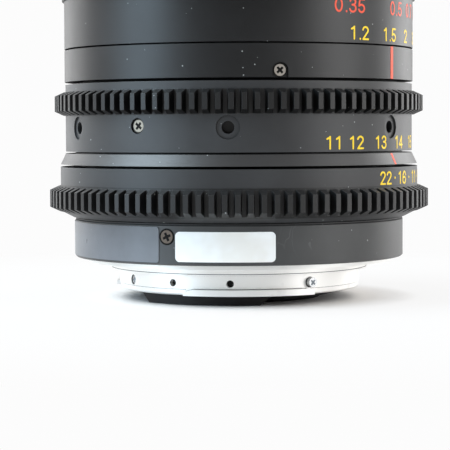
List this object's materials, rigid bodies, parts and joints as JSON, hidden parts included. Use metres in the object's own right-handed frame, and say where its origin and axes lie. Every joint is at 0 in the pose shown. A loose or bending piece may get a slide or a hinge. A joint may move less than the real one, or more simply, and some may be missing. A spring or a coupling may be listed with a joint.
{
  "type": "wide-angle zoom lens",
  "caption": "Wide-angle zoom lens with toothed focus, zoom and aperture rings, an iris of swinging blades and a chromed bayonet mount.",
  "frame": {"origin": "on the optical axis, at the surface that the lens stands on", "axes": "+Z along the optical axis towards the front glass; the index lines face -Y"},
  "size_m": [0.084, 0.084, 0.0999],
  "materials": {
    "black_anodised": "satin black anodised",
    "black_gear": "satin black anodised teeth",
    "bright_mount": "polished chrome plate",
    "steel_screw": "bright steel",
    "dark_screw": "dark plated steel",
    "black_plastic": "matte black moulding",
    "gold_contact": "gold plate",
    "board_green": "lacquered board",
    "plate_grey": "blue-grey lacquered plate",
    "label_white": "white foil",
    "inner_black": "matte black anodised",
    "bare_aluminium": "turned, greased",
    "brass_key": "turned brass",
    "nylon_washer": "black sliding plastic",
    "blade_steel": "blackened spring steel",
    "optical_glass": "coated glass",
    "scale_ink": "engraving paint",
    "index_ink": "engraving paint"
  },
  "bodies": {
    "barrel": {"bayonet_flange": "bright_mount", "mount_screws": "steel_screw", "bayonet_side_screws": "steel_screw", "rear_baffle": "black_plastic", "contact_block": "black_plastic", "contact_pins": "gold_contact", "rear_barrel": "black_anodised", "rear_barrel_screws": "dark_screw", "side_plate": "plate_grey", "blank_label": "label_white", "main_barrel": "inner_black", "index_ring": "black_anodised", "index_barrel": "black_anodised", "index_barrel_screws": "steel_screw", "circuit_board": "board_green", "guide_tube": "bare_aluminium", "front_barrel": "black_anodised", "front_rim": "black_anodised", "aperture_washer": "nylon_washer", "zoom_washer": "nylon_washer", "focus_washer": "nylon_washer", "relay_cell": "inner_black", "relay_front_element": "optical_glass", "relay_rear_element": "optical_glass", "iris_base": "inner_black", "iris_cover": "inner_black"},
    "focus_control": {"focus_ring": "black_anodised", "focus_gear": "black_gear", "focus_gear_screws": "steel_screw", "helicoid_sleeve": "bare_aluminium", "focus_keys": "brass_key"},
    "zoom_control": {"zoom_ring": "black_anodised", "zoom_ring_screws": "steel_screw", "lever_inserts": "black_anodised", "zoom_keys": "brass_key", "cam_tube": "bare_aluminium"},
    "aperture_control": {"aperture_ring": "black_anodised", "aperture_arm": "steel_screw", "iris_drive_ring": "inner_black"},
    "front_group": {"front_cell": "inner_black", "front_element": "optical_glass", "second_element": "optical_glass", "third_element": "optical_glass", "front_retainer": "black_anodised", "focus_rollers": "brass_key"},
    "variator_group": {"variator_cell": "inner_black", "variator_element": "optical_glass", "variator_rollers": "brass_key"},
    "compensator_group": {"compensator_cell": "inner_black", "compensator_element": "optical_glass", "compensator_rollers": "brass_key"},
    "blade_1": {"iris_blade_1": "blade_steel"},
    "blade_2": {"iris_blade_2": "blade_steel"},
    "blade_3": {"iris_blade_3": "blade_steel"},
    "blade_4": {"iris_blade_4": "blade_steel"},
    "blade_5": {"iris_blade_5": "blade_steel"},
    "blade_6": {"iris_blade_6": "blade_steel"},
    "blade_7": {"iris_blade_7": "blade_steel"},
    "blade_8": {"iris_blade_8": "blade_steel"},
    "blade_9": {"iris_blade_9": "blade_steel"}
  },
  "joints": [
    {"name": "focus_turn", "type": "hinge", "parent": "barrel", "child": "focus_control", "pos_m": [0, 0, 0.0574], "axis": [0, 0, 1], "range_deg": [-47.5, 33]},
    {"name": "zoom_turn", "type": "hinge", "parent": "barrel", "child": "zoom_control", "pos_m": [0, 0, 0.038], "axis": [0, 0, 1], "range_deg": [-32, 26.6]},
    {"name": "aperture_turn", "type": "hinge", "parent": "barrel", "child": "aperture_control", "pos_m": [0, 0, 0.0225], "axis": [0, 0, 1], "range_deg": [-59.5, 6]},
    {"name": "front_group_slide", "type": "slide", "parent": "barrel", "child": "front_group", "axis": [0, 0, 1], "range_m": [-0.00179, 0.00125]},
    {"name": "variator_slide", "type": "slide", "parent": "barrel", "child": "variator_group", "axis": [0, 0, 1], "range_m": [-0.0033, 0.00274]},
    {"name": "compensator_slide", "type": "slide", "parent": "barrel", "child": "compensator_group", "axis": [0, 0, 1], "range_m": [-0.00135, 0.00162]},
    {"name": "blade_1_swing", "type": "hinge", "parent": "barrel", "child": "blade_1", "pos_m": [0.0189, 0, 0.0213], "axis": [0, 0, 1], "range_deg": [-26.73, 2.97]},
    {"name": "blade_2_swing", "type": "hinge", "parent": "barrel", "child": "blade_2", "pos_m": [0.01448, 0.01215, 0.02144], "axis": [0, 0, 1], "range_deg": [-26.73, 2.97]},
    {"name": "blade_3_swing", "type": "hinge", "parent": "barrel", "child": "blade_3", "pos_m": [0.00328, 0.01861, 0.02158], "axis": [0, 0, 1], "range_deg": [-26.73, 2.97]},
    {"name": "blade_4_swing", "type": "hinge", "parent": "barrel", "child": "blade_4", "pos_m": [-0.00945, 0.01637, 0.02172], "axis": [0, 0, 1], "range_deg": [-26.73, 2.97]},
    {"name": "blade_5_swing", "type": "hinge", "parent": "barrel", "child": "blade_5", "pos_m": [-0.01776, 0.00646, 0.02186], "axis": [0, 0, 1], "range_deg": [-26.73, 2.97]},
    {"name": "blade_6_swing", "type": "hinge", "parent": "barrel", "child": "blade_6", "pos_m": [-0.01776, -0.00646, 0.022], "axis": [0, 0, 1], "range_deg": [-26.73, 2.97]},
    {"name": "blade_7_swing", "type": "hinge", "parent": "barrel", "child": "blade_7", "pos_m": [-0.00945, -0.01637, 0.02214], "axis": [0, 0, 1], "range_deg": [-26.73, 2.97]},
    {"name": "blade_8_swing", "type": "hinge", "parent": "barrel", "child": "blade_8", "pos_m": [0.00328, -0.01861, 0.02228], "axis": [0, 0, 1], "range_deg": [-26.73, 2.97]},
    {"name": "blade_9_swing", "type": "hinge", "parent": "barrel", "child": "blade_9", "pos_m": [0.01448, -0.01215, 0.02242], "axis": [0, 0, 1], "range_deg": [-26.73, 2.97]}
  ],
  "couplings": [
    {"joint": "front_group_slide", "follows": "focus_turn", "m_per_rad": 0.0021371},
    {"joint": "variator_slide", "follows": "zoom_turn", "m_per_rad": 0.0058671},
    {"joint": "compensator_slide", "follows": "zoom_turn", "m_per_rad": -0.0028648},
    {"joint": "blade_1_swing", "follows": "aperture_turn", "ratio": 0.44427},
    {"joint": "blade_2_swing", "follows": "aperture_turn", "ratio": 0.44427},
    {"joint": "blade_3_swing", "follows": "aperture_turn", "ratio": 0.44427},
    {"joint": "blade_4_swing", "follows": "aperture_turn", "ratio": 0.44427},
    {"joint": "blade_5_swing", "follows": "aperture_turn", "ratio": 0.44427},
    {"joint": "blade_6_swing", "follows": "aperture_turn", "ratio": 0.44427},
    {"joint": "blade_7_swing", "follows": "aperture_turn", "ratio": 0.44427},
    {"joint": "blade_8_swing", "follows": "aperture_turn", "ratio": 0.44427},
    {"joint": "blade_9_swing", "follows": "aperture_turn", "ratio": 0.44427}
  ]
}
